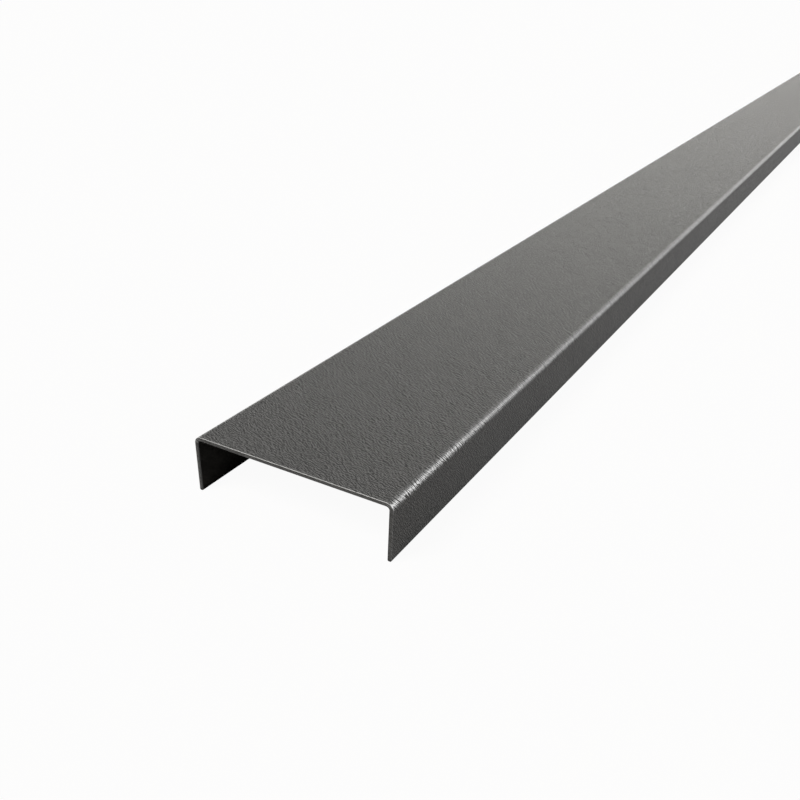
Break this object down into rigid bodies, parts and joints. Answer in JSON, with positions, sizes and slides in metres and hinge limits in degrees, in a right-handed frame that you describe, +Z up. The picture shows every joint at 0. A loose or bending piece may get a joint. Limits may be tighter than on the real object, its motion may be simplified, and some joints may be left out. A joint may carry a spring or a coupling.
{
  "type": "joint cover",
  "caption": "Folded aluminium cover strip: a shallow open channel with a flat web and short gripping flanges, laid over the joint between panels to hide it and shed water.",
  "frame": {"origin": "under the middle of the cover, on the surface that the flange edges stand on", "axes": "+X across the web, +Y along the length, +Z up, out of the web's face; it lies web up, as it is used"},
  "size_m": [0.055, 2, 0.015],
  "materials": {
    "coated_sheet": "matte"
  },
  "bodies": {
    "root": {"joint_cover": "coated_sheet"}
  },
  "joints": []
}
